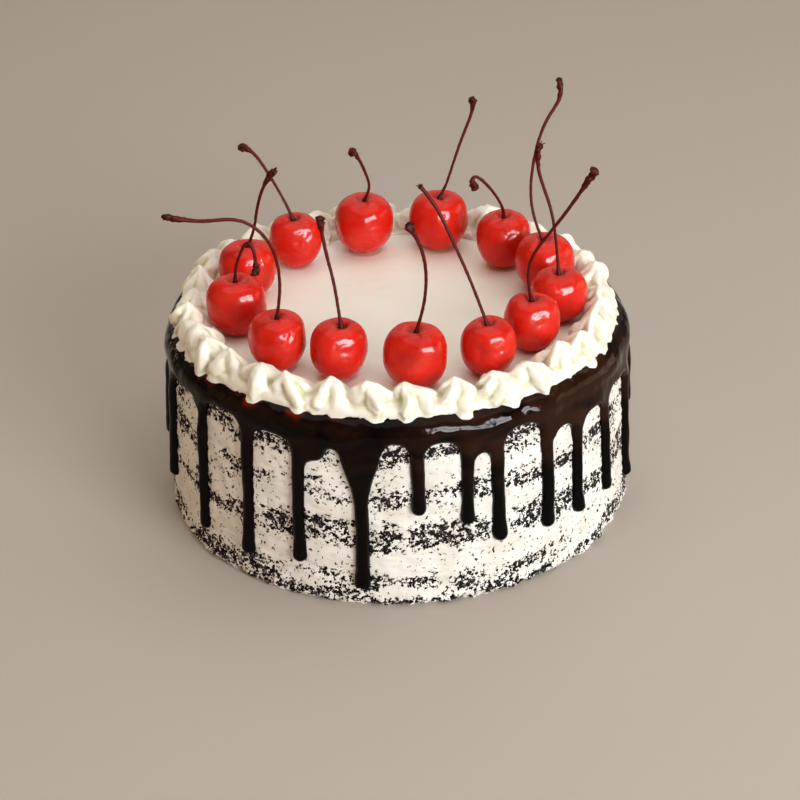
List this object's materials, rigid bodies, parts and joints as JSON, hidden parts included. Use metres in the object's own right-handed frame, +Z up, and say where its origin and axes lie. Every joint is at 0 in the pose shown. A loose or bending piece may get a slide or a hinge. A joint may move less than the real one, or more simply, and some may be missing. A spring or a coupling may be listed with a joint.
{
  "type": "black forest cake",
  "caption": "Round layered chocolate and cream cake with a dripping ganache rim, a ring of piped cream and stemmed glazed cherries on top.",
  "frame": {"origin": "centre of the base, on the surface the cake stands on", "axes": "+Z up, -Y the front, +X to the right seen from the front"},
  "size_m": [0.1506, 0.1511, 0.1282],
  "materials": {
    "sponge": "matt dark chocolate sponge",
    "cream": "smooth whipped cream with dark crumbs on the wall",
    "piping": "soft satin piped cream",
    "ganache": "glossy set chocolate ganache",
    "cherry": "wet translucent glazed cherry",
    "stem": "dry red brown cherry stem"
  },
  "bodies": {
    "root": {"cherry_01": "cherry", "cherry_02": "cherry", "cherry_03": "cherry", "cherry_04": "cherry", "cherry_05": "cherry", "cherry_06": "cherry", "cherry_07": "cherry", "cherry_08": "cherry", "cherry_09": "cherry", "cherry_10": "cherry", "cherry_11": "cherry", "cherry_12": "cherry", "cherry_13": "cherry", "filling_1": "cream", "filling_2": "cream", "filling_3": "cream", "ganache": "ganache", "piping_ring": "piping", "sponge_1": "sponge", "sponge_2": "sponge", "sponge_3": "sponge", "sponge_4": "sponge", "stem_01": "stem", "stem_02": "stem", "stem_03": "stem", "stem_04": "stem", "stem_05": "stem", "stem_06": "stem", "stem_07": "stem", "stem_08": "stem", "stem_09": "stem", "stem_10": "stem", "stem_11": "stem", "stem_12": "stem", "stem_13": "stem", "top_cream": "cream"}
  },
  "joints": []
}
